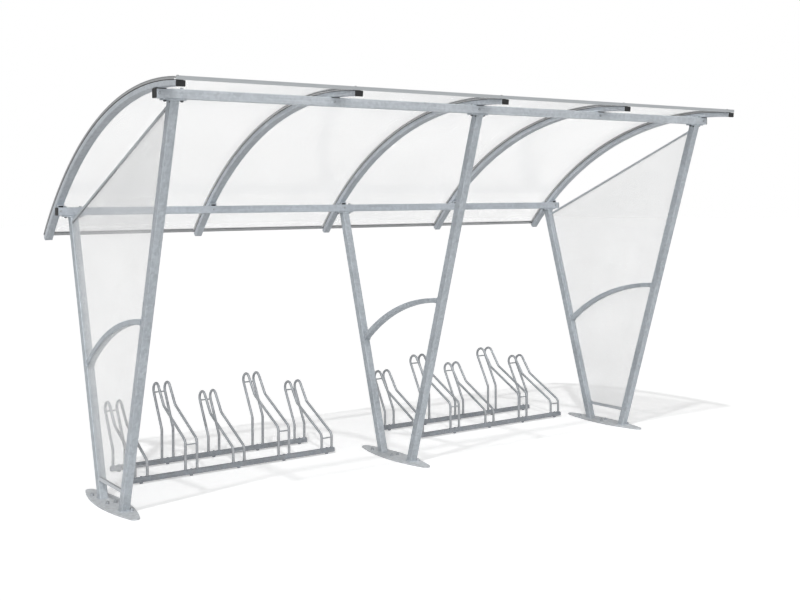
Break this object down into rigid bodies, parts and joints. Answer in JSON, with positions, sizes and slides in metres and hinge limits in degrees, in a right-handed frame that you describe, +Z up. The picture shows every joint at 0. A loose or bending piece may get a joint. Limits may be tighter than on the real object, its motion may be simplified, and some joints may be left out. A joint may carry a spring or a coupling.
{
  "type": "bike shelter",
  "caption": "Open bike shelter on three V-shaped galvanised frames, with an arched clear roof, side panels and bent-rod wheel racks.",
  "frame": {"origin": "on the ground, under the centre of the middle base plate", "axes": "+X along the shelter, +Y to the low rear side of the roof, +Z up"},
  "size_m": [4.21, 2.058, 2.3726],
  "materials": {
    "galvanised": "hot-dip galvanised, dull grey with soft spangle",
    "aluminium": "plain mill finish",
    "clear_sheet": "clear twin-wall sheet with fine flutes",
    "black_plastic": "matt moulded",
    "black_rubber": "matt extruded"
  },
  "bodies": {
    "root": {"base_plate_left": "galvanised", "base_plate_middle": "galvanised", "base_plate_right": "galvanised", "front_leg_left": "galvanised", "front_leg_middle": "galvanised", "front_leg_right": "galvanised", "rear_leg_left": "galvanised", "rear_leg_middle": "galvanised", "rear_leg_right": "galvanised", "brace_left": "galvanised", "brace_middle": "galvanised", "brace_right": "galvanised", "front_beam": "galvanised", "rear_beam": "galvanised", "rafter_left": "galvanised", "rafter_left_inner": "galvanised", "rafter_middle": "galvanised", "rafter_right_inner": "galvanised", "rafter_right": "galvanised", "left_rack_rails": "galvanised", "right_rack_rails": "galvanised", "left_rack_low_hoops": "galvanised", "left_rack_high_hoops": "galvanised", "right_rack_low_hoops": "galvanised", "right_rack_high_hoops": "galvanised", "rack_cross_rods": "galvanised", "glazing_strips": "aluminium", "fascia_rail": "aluminium", "eave_trim": "aluminium", "panel_trim_left": "aluminium", "panel_trim_right": "aluminium", "panel_rail_left": "aluminium", "panel_rail_right": "aluminium", "roof_sheet_left": "clear_sheet", "roof_sheet_left_inner": "clear_sheet", "roof_sheet_right_inner": "clear_sheet", "roof_sheet_right": "clear_sheet", "lower_panel_left": "clear_sheet", "lower_panel_right": "clear_sheet", "upper_panel_left": "clear_sheet", "upper_panel_right": "clear_sheet", "beam_end_caps": "black_plastic", "rafter_end_caps": "black_plastic", "rafter_saddles": "black_plastic", "glazing_gaskets": "black_rubber"}
  },
  "joints": []
}
